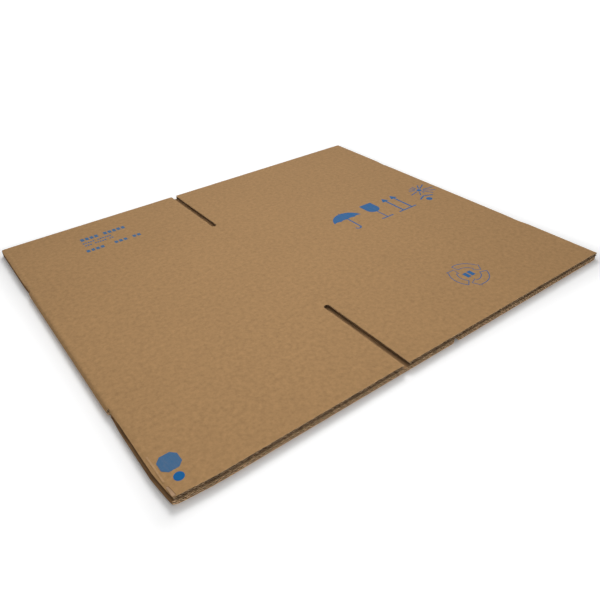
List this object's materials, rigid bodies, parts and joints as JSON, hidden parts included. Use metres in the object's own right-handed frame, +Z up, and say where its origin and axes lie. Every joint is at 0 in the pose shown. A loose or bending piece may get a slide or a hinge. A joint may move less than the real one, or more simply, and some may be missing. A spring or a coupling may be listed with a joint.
{
  "type": "flattened corrugated carton",
  "caption": "Slotted shipping carton of double-wall corrugated board, glued into a tube and folded flat, with slotted flaps at both ends.",
  "frame": {"origin": "under the middle of the flat carton, on the face that it lies on", "axes": "+X from the left fold to the right fold, +Y along the flutes towards the far flaps, +Z up out of the printed upper layer"},
  "size_m": [0.7998, 0.6812, 0.0126],
  "materials": {
    "board": "matt brown kraft liner with a faint fibre fleck",
    "ink": "matt blue flexographic print on kraft liner"
  },
  "bodies": {
    "root": {"carton": "board"}
  },
  "joints": []
}
